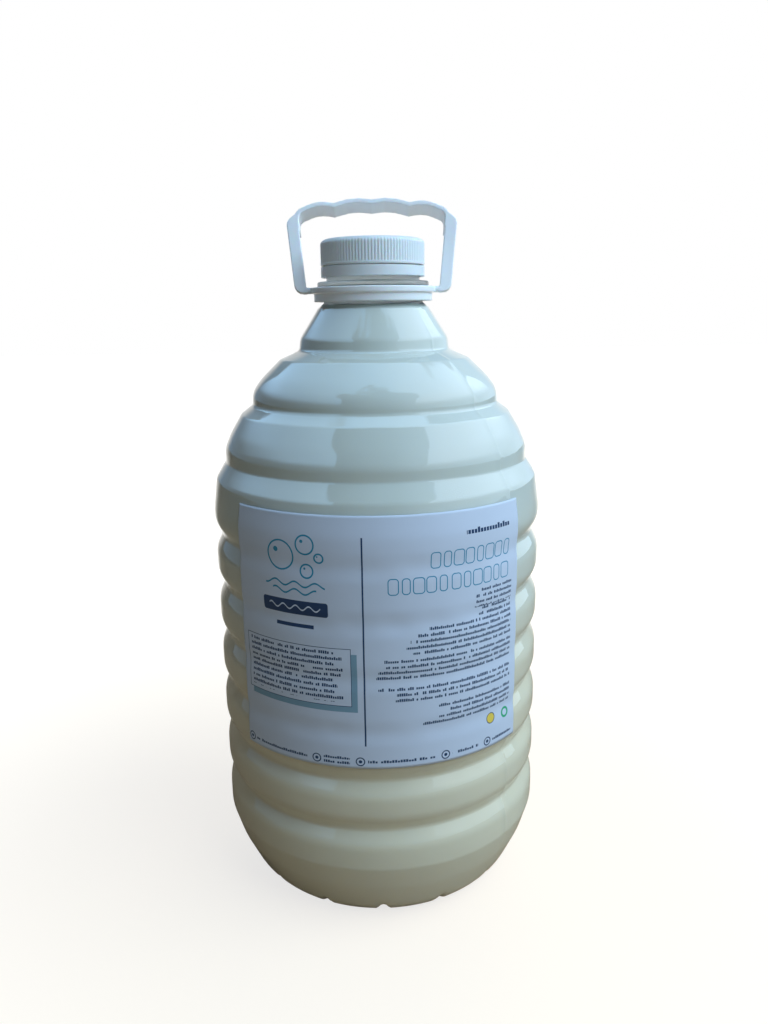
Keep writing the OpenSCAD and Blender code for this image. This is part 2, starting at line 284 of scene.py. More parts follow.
class BottleColours(bpy.types.PropertyGroup):
    """Colours of the plastics, the liquid and the print."""

    shell: tint("Shell", "Tint of the clear shell", (0.90, 0.95, 0.95))
    liquid: tint("Liquid", "Milky liquid", (0.67, 0.68, 0.62))
    # Low down the liquid is warmer: partly painted warm light bounced from the floor
    liquid_low: tint("Warm low liquid", "Liquid low down, warmed partly by painted floor light", (0.83, 0.72, 0.54))
    cap: tint("Cap", "Moulded cap and band", (0.80, 0.84, 0.86))
    handle: tint("Handle", "Moulded handle", (0.90, 0.92, 0.94))
    foam: tint("Liner", "Foam liner in the cap", (0.78, 0.80, 0.82))
    paper: tint("Paper", "Unprinted label", (0.64, 0.70, 0.82))
    navy: tint("Navy", "Dark ink", (0.02, 0.05, 0.12))
    teal: tint("Teal", "Line art ink", (0.03, 0.26, 0.42))
    steel: tint("Steel", "Panel shadow ink", (0.22, 0.36, 0.46))
    yellow: tint("Yellow", "Small round mark", (0.85, 0.62, 0.10))
    green: tint("Green", "Small ring mark", (0.04, 0.40, 0.20))


def sizes():
    return bpy.context.scene.bottle_sizes


def colours():
    return bpy.context.scene.bottle_colours


# Paths: lists of (across, up, rounding radius)


def spot(corner):
    return Vector(corner[:2])


def left_of(v):
    return Vector((-v.y, v.x))


def turn_of(a, b):
    return a.x * b.y - a.y * b.x


def along(path, i):
    return (spot(path[i + 1]) - spot(path[i])).normalized()


def moved(path, gap):
    """The same path, moved to its left, with its roundings kept concentric."""
    last = len(path) - 1
    result = []
    for i, corner in enumerate(path):
        a = along(path, max(i - 1, 0))
        b = along(path, min(i, last - 1))
        place = spot(corner) + gap * (left_of(a) + left_of(b)) / (1 + a.dot(b))
        radius = corner[2] - copysign(gap, turn_of(a, b))
        result.append((place.x, place.y, max(LEAST_ROUND, radius) if corner[2] else 0))
    return result


def bend(corner, a, b, step):
    """Points of the arc that rounds a corner between directions a and b."""
    turn = atan2(turn_of(a, b), a.dot(b))
    if not corner[2] or abs(turn) < STRAIGHT_TURN:
        return [spot(corner)]
    count = ceil(abs(turn) / step)
    start = spot(corner) - a * corner[2] * tan(abs(turn) / 2)
    centre = start + left_of(a) * copysign(corner[2], turn)
    return [centre + Matrix.Rotation(turn * n / count, 2) @ (start - centre) for n in range(count + 1)]


def rounded(path, step=ARC_STEP):
    """Points along a path, with its corners rounded."""
    points = [spot(path[0])]
    for i in range(1, len(path) - 1):
        points += bend(path[i], along(path, i - 1), along(path, i), step)
    return points + [spot(path[-1])]


def divided(points, longest):
    """The same points, with more along each straight stretch that is longer than longest."""
    result = [points[0]]
    for a, b in zip(points, points[1:]):
        count = max(1, ceil((b - a).length / longest))
        result += [a.lerp(b, n / count) for n in range(1, count + 1)]
    return result


def between(a, b, share, radius):
    return (a[0] + (b[0] - a[0]) * share[0], a[1] + (b[1] - a[1]) * share[1], radius)


def groove(z):
    return [
        (BODY_R, z - GROOVE_W / 2, RIM_ROUND),
        (BODY_R - GROOVE_DEPTH, z, ROOT_ROUND),
        (BODY_R, z + GROOVE_W / 2, RIM_ROUND),
    ]


def tier(a, b):
    return [
        between(a, b, TIER_RIM, RIM_ROUND),
        between(a, b, TIER_MID, SHOULDER_ROUND),
        between(a, b, TIER_BROW, BROW_ROUND),
        (*b, WAIST_ROUND),
    ]


def body_path():
    """Outline of the blown body, from the middle of its base to the neck."""
    heel = STAND_R + HEEL_R * tan(HEEL_SLOPE / 2)
    path = [
        (0, PUNT[1], 0),
        (*PUNT, PUNT_ROUND),
        (LAND_R, 0, LAND_ROUND),
        (heel, 0, HEEL_R),
        (heel + LOW_Z / tan(HEEL_SLOPE), LOW_Z, LOW_ROUND),
        (BODY_R, FULL_Z, FULL_ROUND),
    ]
    for n in range(GROOVE_COUNT):
        path += groove(GROOVE_Z + n * GROOVE_PITCH)
    path += [(*SIDE_TOP, SHOULDER_ROUND), between(SIDE_TOP, WAIST_1, SIDE_BROW, RIM_ROUND / 2)]
    path += [(*WAIST_1, WAIST_ROUND)] + tier(WAIST_1, WAIST_2) + tier(WAIST_2, WAIST_3)
    path += [between(WAIST_3, CONE, CONE_RIM, RIM_ROUND / 2), (*CONE, WAIST_ROUND)]
    return path + [(NECK_R, NECK_Z, NECK_ROUND)]


def body_inside(gap):
    """The same outline, moved inwards."""
    return moved(body_path() + [(NECK_R, LEDGE_Z, 0)], gap)[:-1]


def neck_path():
    """Outline of the neck above the body, over its lip to the bore."""
    return [
        (NECK_R, LEDGE_Z, LEDGE_ROUNDS[0]),
        (LEDGE_R, LEDGE_Z, LEDGE_ROUNDS[1]),
        (LEDGE_R, LEDGE_Z + LEDGE_T, LEDGE_ROUNDS[2]),
        (FINISH_R, LEDGE_Z + LEDGE_T, LIP_ROUND),
        (FINISH_R, BEAD_Z, EDGE_ROUND),
        (FINISH_R + BEAD_OUT, BEAD_Z + BEAD_OUT / 2, EDGE_ROUND),
        (FINISH_R + BEAD_OUT, BEAD_Z + BEAD_OUT, EDGE_ROUND),
        (FINISH_R, BEAD_Z + BEAD_H, EDGE_ROUND),
        (FINISH_R, FINISH_TOP, LIP_ROUND),
        (BORE_R, FINISH_TOP, LIP_ROUND),
        (BORE_R, NECK_Z, WAIST_ROUND),
    ]


# Meshes


def smooth_least(a, b, reach):
    """The smaller of two values, eased where they are close."""
    share = max(reach - abs(a - b), 0) / reach
    return min(a, b) - share * share * reach / 4


def fluted(point, azimuth, radius):
    """Moves a point of the base towards its place in the nearest flute."""
    pitch = tau / FLUTE_COUNT
    offset = (azimuth + pitch / 2) % pitch - pitch / 2
    aside = abs(point.x * sin(offset))
    centre = Vector((STAND_R, HEEL_R))
    away = point - centre
    turn = atan2(away.x, -away.y)
    past = max(FLUTE_TURNS[0] - turn, turn - FLUTE_TURNS[1], 0)
    if past > FLUTE_RUN_OUT:
        return point
    reach = HEEL_R + FLUTE_R - FLUTE_DEPTH
    if aside < radius:
        carved = reach - sqrt(radius * radius - aside * aside)
    else:
        carved = reach + FLUTE_SLOPE * (aside - radius)
    kept = smooth_least(away.length, carved / cos(past), FLUTE_EASE)
    return centre + away * (kept / away.length)


def blown_shift(point, azimuth):
    """Small inward unevenness of the blown wall, and the ridge along the parting line, in millimetres."""
    above = (point.y - WOBBLE_FOOT) / WOBBLE_FADE
    below = (NECK_Z - WOBBLE_HEAD - point.y) / WOBBLE_FADE
    share = min(1, max(0, above)) * min(1, max(0, below))
    place = (cos(azimuth) * WOBBLE_ROUND, sin(azimuth) * WOBBLE_ROUND, point.y / WOBBLE_UP)
    dent = -(0.5 + 0.5 * noise.noise(Vector(place))) * sizes().wobble / MM
    near = abs((azimuth - PARTING + pi) % tau - pi)
    far = abs((azimuth - PARTING) % tau - pi)
    ridge = max(0, 1 - min(near, far) / PARTING_WIDTH) * sizes().parting / MM
    return share * (dent + ridge)


def columns(count, with_parting=True):
    """Azimuths of a ring's vertices, with a few more at the two parting lines."""
    turns = [tau * n / count for n in range(count)]
    if with_parting:
        for side in (0, pi):
            turns += [(PARTING + side + radians(offset)) % tau for offset in PARTING_OFFSETS]
    turns = sorted(turns)
    return [a for a, b in zip(turns, turns[1:] + [tau]) if b - a > TINY]


def around(radius, turn, height):
    """A place in metres from millimetres round the axis."""
    return Vector((radius * sin(turn), -radius * cos(turn), height)) * MM


def ring(bm, turns, place):
    """Vertices round the axis. place gives (radius, height) in millimetres for an azimuth."""
    result = []
    for turn in turns:
        radius, height = place(turn)
        result.append((turn, bm.verts.new(around(radius, turn, height))))
    return result


def bridge(bm, low, high):
    """Joins two rings that may have different columns. A ring of one vertex is the axis."""
    if 1 in (len(low), len(high)):
        fan, tip = (high, low[0][1]) if len(low) == 1 else (low, high[0][1])
        for (_, a), (_, b) in zip(fan, fan[1:] + fan[:1]):
            bm.faces.new((tip, b, a) if fan is high else (a, b, tip))
        return
    count = len(low) + len(high)
    low, high = ([*row, (row[0][0] + tau, row[0][1]), (inf, None)] for row in (low, high))
    i = j = 0
    while i + j < count:
        a, b = low[i][1], high[j][1]
        (turn_a, next_a), (turn_b, next_b) = low[i + 1], high[j + 1]
        if abs(turn_a - turn_b) < TINY:
            bm.faces.new((a, next_a, next_b, b))
            i, j = i + 1, j + 1
        elif turn_a < turn_b:
            bm.faces.new((a, next_a, b))
            i += 1
        else:
            bm.faces.new((a, next_b, b))
            j += 1


def turned(bm, points, turns_at, place, before=None):
    """Skin of revolution along points, from a ring before them if there is one. Gives its last ring.

    turns_at gives a point's azimuths, and place moves it for an azimuth.
    """
    for point in points:
        if point.x < TINY:
            now = [(0, bm.verts.new((0, 0, point.y * MM)))]
        else:
            now = ring(bm, turns_at(point), lambda turn: place(point, turn))
        if before:
            bridge(bm, before, now)
        before = now
    return before


def finished(name, bm, material):
    """A smooth object in the scene from a bmesh."""
    bmesh.ops.recalc_face_normals(bm, faces=bm.faces)
    mesh = bpy.data.meshes.new(name)
    bm.to_mesh(mesh)
    bm.free()
    mesh.shade_smooth()
    mesh.materials.append(material)
    piece = bpy.data.objects.new(name, mesh)
    bpy.context.scene.collection.objects.link(piece)
    return piece


def body_turns(point):
    """Fine columns round the flutes, coarser ones above."""
    return FINE if point.y < FLUTE_TOP else COARSE


FINE = columns(FLUTE_COLUMNS)
COARSE = columns(BODY_COLUMNS)


def blow(bm, points, gap, before=None):
    """Skin of the blown body that lies inside the outer one by a gap. Gives its last ring."""

    def place(point, turn):
        if point.y < FLUTE_TOP:
            point = fluted(point, turn, FLUTE_R + gap)
        return point.x + blown_shift(point, turn), point.y

    return turned(bm, points, body_turns, place, before)


def join(bm, low, high):
    """Faces between two closed loops of as many vertices."""
    for k in range(len(low)):
        m = (k + 1) % len(low)
        bm.faces.new((low[k], low[m], high[m], high[k]))


def tube(bm, loops):
    """Skin through loops of vertices, closed at both ends."""
    bm.faces.new(loops[0])
    for before, now in zip(loops, loops[1:]):
        join(bm, before, now)
    bm.faces.new(loops[-1])


def helix(bm, radius, side, height, z, start):
    """One thread start: a ridge along a helix, thin at both ends. side is 1 outwards and -1 inwards."""
    steps = ceil(THREAD_SWEEP / THREAD_STEP)
    flank = THREAD_FLANK * height
    half = [(-THREAD_BITE, -1), (flank, -1), (height, -THREAD_CREST)]
    section = half + [(rise, -up) for rise, up in reversed(half)]
    low, narrow = THREAD_END
    loops = []
    for n in range(steps + 1):
        turn = start + THREAD_SWEEP * n / steps
        ease = low + (1 - low) * min(1, n / THREAD_GROWTH, (steps - n) / THREAD_GROWTH)
        width = THREAD_HALF * (narrow + (1 - narrow) * ease)
        middle = z + THREAD_LEAD * (turn - start) / tau
        loop = []
        for rise, up in section:
            out = side * (rise * ease if rise > 0 else rise)
            loop.append(bm.verts.new(around(radius + out, turn, middle + up * width)))
        loops.append(loop)
    tube(bm, loops)


# Shader helpers


class Nodes:
    """Adds nodes to a tree from left to right."""

    SPACING = 180

    def __init__(self, tree):
        self.tree = tree

    def link(self, value, socket):
        self.tree.links.new(value, socket)

    def give(self, value, socket):
        """Links a socket, or sets a plain value."""
        if isinstance(value, bpy.types.NodeSocket):
            self.link(value, socket)
        else:
            socket.default_value = value

    def add(self, kind, inputs=None, **settings):
        node = self.tree.nodes.new(kind)
        for key, value in settings.items():
            setattr(node, key, value)
        for key, value in (inputs or {}).items():
            self.give(value, node.inputs[key])
        node.location.x = self.SPACING * len(self.tree.nodes)
        return node

    def place(self, kind="Object"):
        return self.add("ShaderNodeTexCoord").outputs[kind]

    def parts(self, place):
        return self.add("ShaderNodeSeparateXYZ", {0: place}).outputs

    def noise(self, place, scale, detail, distortion=0.0):
        inputs = {"Vector": place, "Scale": scale, "Detail": detail, "Distortion": distortion}
        return self.add("ShaderNodeTexNoise", inputs).outputs["Fac"]

    def bump(self, height, distance, strength=1.0):
        inputs = {"Height": height, "Distance": distance, "Strength": strength}
        return self.add("ShaderNodeBump", inputs).outputs["Normal"]

    def math(self, operation, a, b=0.0, c=0.0):
        return self.add("ShaderNodeMath", {0: a, 1: b, 2: c}, operation=operation).outputs[0]

    def plus(self, a, b):
        return self.math("ADD", a, b)

    def minus(self, a, b):
        return self.math("SUBTRACT", a, b)

    def times(self, a, b):
        return self.math("MULTIPLY", a, b)

    def mix(self, share, a, b):
        """Mixes two colours, each a socket or three plain values."""
        node = self.add("ShaderNodeMix", {"Factor": share}, data_type="RGBA")
        for socket, value in ((node.inputs[6], a), (node.inputs[7], b)):
            self.give(value if isinstance(value, bpy.types.NodeSocket) else (*value, 1), socket)
        return node.outputs[2]

    def ramp(self, value, low, high, a=0.0, b=1.0):
        """Smooth step from a at low to b at high."""
        node = self.add(
            "ShaderNodeMapRange",
            {"Value": value, "From Min": low, "From Max": high, "To Min": a, "To Max": b},
            interpolation_type="SMOOTHSTEP",
        )
        return node.outputs["Result"]

    def within(self, value, low, high):
        """Mask of the values between two ends."""
        return self.times(self.math("GREATER_THAN", value, low), self.math("LESS_THAN", value, high))

    def group(self, group, inputs):
        return self.add("ShaderNodeGroup", inputs, node_tree=group)


def new_group(name, inputs, outputs):
    """An empty shader group. Its sockets hold numbers, apart from a Colour and a Normal."""
    kinds = {"Colour": "NodeSocketColor", "Normal": "NodeSocketVector"}
    tree = bpy.data.node_groups.new(name, "ShaderNodeTree")
    for side, titles in (("INPUT", inputs), ("OUTPUT", outputs)):
        for title in titles:
            kind = kinds.get(title, "NodeSocketFloat")
            tree.interface.new_socket(title, in_out=side, socket_type=kind)
    nodes = Nodes(tree)
    return tree, nodes, nodes.add("NodeGroupInput").outputs, nodes.add("NodeGroupOutput").inputs


def new_material(name, **plain):
    """A material with a Principled shader. plain sets its sockets, by name with _ for a blank."""
    material = bpy.data.materials.new(name)
    material.use_nodes = True
    tree = material.node_tree
    shader = tree.nodes["Principled BSDF"]
    for key, value in plain.items():
        shader.inputs[key.replace("_", " ")].default_value = value
    return material, Nodes(tree), shader


def grain_group():
    """Fine moulded grain: a mottled tone and a bumped normal."""
    name = "Moulded grain"
    if name in bpy.data.node_groups:
        return bpy.data.node_groups[name]
    tree, n, given, out = new_group(name, ("Colour", "Scale", "Depth"), ("Colour", "Roughness", "Normal"))
    place = n.place()
    broad = n.noise(place, scale=70.0, detail=4.0)
    fine = n.noise(place, given["Scale"], detail=3.0)
    streaks = n.noise(place, scale=260.0, detail=2.0, distortion=2.0)
    shade = n.times(n.minus(broad, 0.5), MOTTLE)
    inputs = {0: given["Colour"], "Scale": n.plus(1.0, shade)}
    n.link(n.add("ShaderNodeVectorMath", inputs, operation="SCALE").outputs["Vector"], out["Colour"])
    n.link(n.ramp(streaks, 0.35, 0.75, *STREAKED), out["Roughness"])
    n.link(n.bump(fine, given["Depth"]), out["Normal"])
    return tree


def moulded_material(name, colour, scale, depth, **plain):
    """White moulded plastic with its grain."""
    material, n, shader = new_material(name, **plain)
    grain = n.group(grain_group(), {"Colour": (*colour, 1), "Scale": scale, "Depth": depth})
    for key, socket in (("Colour", "Base Color"), ("Roughness", "Roughness"), ("Normal", "Normal")):
        n.link(grain.outputs[key], shader.inputs[socket])
    return material


def shell_material():
    """Clear blown plastic, duller on the moulded neck. Shadow and diffuse rays pass straight through."""
    material, n, shader = new_material(
        "Clear blown plastic", Base_Color=(*colours().shell, 1), Transmission_Weight=1.0, IOR=1.55
    )
    place = n.place()
    height = n.parts(place)["Z"]
    waves = n.noise(place, scale=17.0, detail=2.5)
    below_neck = n.ramp(height, WAVES_FADE_Z * MM, NECK_Z * MM, 1.0, 0.0)
    n.link(n.bump(waves, distance=0.0015, strength=below_neck), shader.inputs["Normal"])
    frosted = n.ramp(height, CONE[1] * MM, NECK_Z * MM, 0.0, FROST)
    smears = n.noise(place, scale=45.0, detail=5.0, distortion=1.2)
    n.link(n.plus(n.ramp(smears, 0.45, 0.8, *SMEARED), frosted), shader.inputs["Roughness"])
    passing = n.add("ShaderNodeBsdfTransparent", {"Color": (0.96, 0.98, 0.98, 1)})
    paths = n.add("ShaderNodeLightPath").outputs
    straight = n.math("MAXIMUM", paths["Is Shadow Ray"], paths["Is Diffuse Ray"])
    both = n.add("ShaderNodeMixShader", {0: straight, 1: shader.outputs[0], 2: passing.outputs[0]})
    n.link(both.outputs[0], n.tree.nodes["Material Output"].inputs["Surface"])
    return material


def liquid_material():
    """Milky detergent, warmer and creamier low down: partly painted warm light from the floor."""
    material, n, shader = new_material(
        "Milky detergent", Roughness=0.35, IOR=1.36, Specular_IOR_Level=0.0,
        Subsurface_Weight=0.3, Subsurface_Scale=0.006, Subsurface_Radius=(1.0, 0.9, 0.7),
    )
    place = n.place()
    height = n.parts(place)["Z"]
    clouds = n.noise(place, scale=14.0, detail=3.0)
    drift = n.plus(height, n.times(n.minus(clouds, 0.5), DRIFT))
    # Warmer tone low down: partly painted warm light bounced from the floor
    tone = n.mix(n.ramp(drift, *WARM_LOW_SPAN), colours().liquid_low, colours().liquid)
    n.link(tone, shader.inputs["Base Color"])
    return material


def backdrop_seen(n, behind):
    """Mask of rays that see the white backdrop: the camera's, through glass, or mirrored from behind."""
    paths = n.add("ShaderNodeLightPath").outputs
    seen = n.math("MAXIMUM", paths["Is Camera Ray"], paths["Is Transmission Ray"])
    return n.math("MAXIMUM", seen, n.times(paths["Is Glossy Ray"], behind))


# Print on the label. Places are millimetres: across from its middle, and up from the base.


def box_group():
    """Masks of a rounded box: its whole area, and a line along its edge."""
    sockets = ("Across", "Up", "X", "Z", "Half Width", "Half Height", "Round", "Line")
    tree, n, given, out = new_group("Rounded box", sockets, ("Fill", "Edge"))
    sides = []
    for value, middle, half in (("Across", "X", "Half Width"), ("Up", "Z", "Half Height")):
        far = n.math("ABSOLUTE", n.minus(given[value], given[middle]))
        sides.append(n.plus(n.minus(far, given[half]), given["Round"]))
    squares = [n.math("POWER", n.math("MAXIMUM", side, 0.0), 2.0) for side in sides]
    corner = n.math("SQRT", n.plus(*squares))
    inside = n.math("MINIMUM", n.math("MAXIMUM", *sides), 0.0)
    far = n.minus(n.plus(corner, inside), given["Round"])
    edge = n.minus(n.math("ABSOLUTE", far), n.math("DIVIDE", given["Line"], 2.0))
    for distance, mask in ((far, "Fill"), (edge, "Edge")):
        n.link(n.ramp(distance, -BOX_SOFT, BOX_SOFT, 1.0, 0.0), out[mask])
    return tree


def dice(n, column, row, seed):
    """A random value from 0 to 1 that stays the same for a column, row and seed."""
    key = n.add("ShaderNodeCombineXYZ", {"X": column, "Y": row, "Z": seed}).outputs[0]
    return n.add("ShaderNodeTexWhiteNoise", {"Vector": key}, noise_dimensions="3D").outputs["Value"]


def dashes_group():
    """Mask of lines of greeked text: dashes in words, ragged on one side."""
    sockets = (
        "Across", "Up", "Left", "Right", "Top", "Bottom", "Pitch", "Height", "Letter",
        "Ragged Left", "Ragged Right", "Seed",
    )
    tree, n, given, out = new_group("Greeked lines", sockets, ("Mask",))
    across, up, left, right, top, bottom, pitch, height, letter, *ragged, seed = given[:len(sockets)]
    down = n.minus(top, up)
    line = n.math("FLOOR", n.math("DIVIDE", down, pitch))
    in_line = n.minus(down, n.times(line, pitch))
    cell = n.math("FLOOR", n.math("DIVIDE", across, letter))
    in_cell = n.minus(across, n.times(cell, letter))
    chance = dice(n, cell, line, seed)
    end = dice(n, LINE_KEY, line, seed)
    above = n.times(height, n.minus(1.0, n.ramp(chance, *LOW_LETTERS)))
    start = n.math("MULTIPLY_ADD", ragged[0], end, left)
    reach = n.math("MULTIPLY_ADD", ragged[1], end, across)
    mask = n.times(n.within(in_line, above, height), n.within(up, bottom, top))
    for operation, value, limit in (
        ("GREATER_THAN", chance, BLANK_SHARE),
        ("LESS_THAN", in_cell, n.times(letter, LETTER_SHARE)),
        ("GREATER_THAN", across, start),
        ("LESS_THAN", reach, right),
    ):
        mask = n.times(mask, n.math(operation, value, limit))
    n.link(mask, out["Mask"])
    return tree


class Print:
    """Paints shapes one over another on the paper's colour."""

    def __init__(self, nodes, across, up, paper):
        self.nodes, self.across, self.up, self.colour = nodes, across, up, paper
        self.boxes, self.lines = box_group(), dashes_group()

    def paint(self, mask, ink):
        self.colour = self.nodes.mix(mask, self.colour, ink)

    def masks(self, group, *values):
        """A group's masks. After Across and Up, values fill its sockets in order."""
        return self.nodes.group(group, dict(enumerate((self.across, self.up, *values)))).outputs

    def box(self, x, z, width, height, ink, rounding=0.0, line=None):
        """A box round (x, z): filled, or outlined by a line of the given width."""
        masks = self.masks(self.boxes, x, z, width / 2, height / 2, rounding, line or PLAIN_LINE)
        self.paint(masks["Edge" if line else "Fill"], ink)

    def disc(self, x, z, radius, ink, line=None):
        self.box(x, z, 2 * radius, 2 * radius, ink, radius, line)

    def text(self, left, right, top, bottom, ink, pitch, height, letter, seed, ragged=(0, 0)):
        """Greeked lines between four edges, each ragged by as much on the left and right."""
        place = (left, right, top, bottom, pitch, height, letter, *ragged, seed)
        self.paint(self.masks(self.lines, *place)["Mask"], ink)

    def wave(self, left, right, z, swing, period, line, ink):
        n = self.nodes
        crest = n.times(n.math("SINE", n.times(self.across, tau / period)), swing)
        far = n.math("ABSOLUTE", n.minus(n.minus(self.up, z), crest))
        mask = n.ramp(far, line / 2 - WAVE_SOFT, line / 2 + WAVE_SOFT, 1.0, 0.0)
        self.paint(n.times(mask, n.within(self.across, left, right)), ink)


def label_material():
    """Satin paper with a generic print: bubbles over waves, plain bars and greeked text."""
    ink = colours()
    material, n, shader = new_material("Printed label", Roughness=0.42, Specular_IOR_Level=0.3)
    place = n.place()
    xyz = n.parts(place)
    azimuth = n.math("ARCTAN2", xyz["X"], n.times(xyz["Y"], -1.0))
    across = n.times(azimuth, BODY_R)
    up = n.times(xyz["Z"], 1 / MM)
    shaded = [PAPER_SHADE * value for value in ink.paper]
    clouds = n.noise(place, scale=26.0, detail=2.0)
    paper = n.mix(n.ramp(clouds, 0.3, 0.7, 0.0, PAPER_CLOUDS), ink.paper, shaded)
    p = Print(n, across, up, paper)
    p.box(x=-6.7, z=148.7, width=0.75, height=96.2, ink=ink.navy)
    draw_motif(p, ink)
    draw_panel(p, ink)
    draw_title(p, ink)
    draw_paragraphs(p, ink)
    draw_foot(p, ink)
    n.link(p.colour, shader.inputs["Base Color"])
    fibres = n.noise(place, scale=420.0, detail=4.0)
    n.link(n.bump(fibres, distance=0.00003, strength=0.6), shader.inputs["Normal"])
    return material


def draw_motif(p, ink):
    """Bubbles rising over two waves, with a plain bar below."""
    bubbles = ((-44.5, 187.0, 6.6), (-32.0, 192.6, 4.2), (-31.5, 180.8, 3.0), (-25.6, 187.0, 2.0))
    for x, z, radius in bubbles:
        p.disc(x, z, radius, ink.teal, line=0.75)
        p.disc(x - radius * 0.34, z + radius * 0.36, radius * 0.18, ink.teal)
    for left, right, z in ((-53.0, -23.0, 174.6), (-49.0, -27.0, 171.2)):
        p.wave(left, right, z, swing=1.1, period=10.0, line=0.8, ink=ink.teal)
    p.box(x=-38.5, z=163.8, width=33.0, height=6.6, ink=ink.navy, rounding=1.2)
    p.wave(left=-51.5, right=-25.5, z=163.8, swing=1.0, period=6.5, line=0.7, ink=ink.paper)
    p.box(x=-38.5, z=155.4, width=19.0, height=1.7, ink=ink.navy)


def draw_panel(p, ink):
    """Framed panel with a shadow and greeked text."""
    p.box(x=-37.6, z=130.6, width=55.6, height=27.4, ink=ink.steel)
    for tone, line in ((ink.paper, None), (ink.navy, PLAIN_LINE)):
        p.box(x=-39.9, z=133.2, width=54.8, height=27.0, ink=tone, line=line)
    p.text(-65.0, -14.4, 145.4, 121.5, ink.navy, 2.62, 1.45, 1.0, seed=3, ragged=(0, 7))


def draw_title(p, ink):
    """Short line at the top right and two rows of outlined blocks."""
    p.text(40.0, TEXT_RIGHT, 197.6, 194.9, ink.navy, pitch=3.2, height=2.5, letter=1.7, seed=5)
    pitch = 5.6
    widths = (4.4, 3.4, 5.0)
    for left, count, z in ((22.5, 8, 185.4), (3.6, 5, 174.9), (32.2, 6, 174.9)):
        for k in range(count):
            x = left + pitch * k + pitch / 2
            p.box(x, z, widths[k % 3], height=7.0, ink=ink.teal, rounding=1.4, line=0.45)


def draw_paragraphs(p, ink):
    """Right-aligned greeked text."""
    blocks = ((169.3, 160.6, 40.0, 9.0), (160.6, 155.4, 44.0, 6.0), (155.4, 143.0, 9.0, 16.0),
              (141.6, 131.2, -4.6, 10.0), (128.4, 121.0, -3.0, 12.0), (118.6, 108.6, 14.0, 18.0))
    for seed, (top, bottom, left, rag) in enumerate(blocks, 10):
        p.text(left, TEXT_RIGHT, top, bottom, ink.navy, 2.62, 1.4, 0.95, seed, (rag, 0))
    for tone, line in ((ink.yellow, None), (ink.navy, 0.4)):
        p.disc(x=55.5, z=104.0, radius=2.5, ink=tone, line=line)
    p.disc(x=65.7, z=103.5, radius=2.1, ink=ink.green, line=1.1)


def draw_foot(p, ink):
    """Row of small round marks, each with a greeked line."""
    z = 93.0
    one = {"top": 93.7, "bottom": 92.2, "pitch": 3.0, "height": 1.35, "letter": 1.25}
    two = {"top": 95.0, "bottom": 91.0, "pitch": 2.3, "height": 1.3, "letter": 1.1}
    marks = ((-68.4, -34.4, one), (-29.6, -14.0, two), (-9.2, 25.0, one), (30.0, 47.6, one),
             (53.2, 70.6, one))
    for x, right, lines in marks:
        p.disc(x, z, radius=1.9, ink=ink.navy, line=0.55)
        p.disc(x, z, radius=0.8, ink=ink.navy)
        p.text(x + 3.4, right, ink=ink.navy, seed=x, **lines)


# Operators


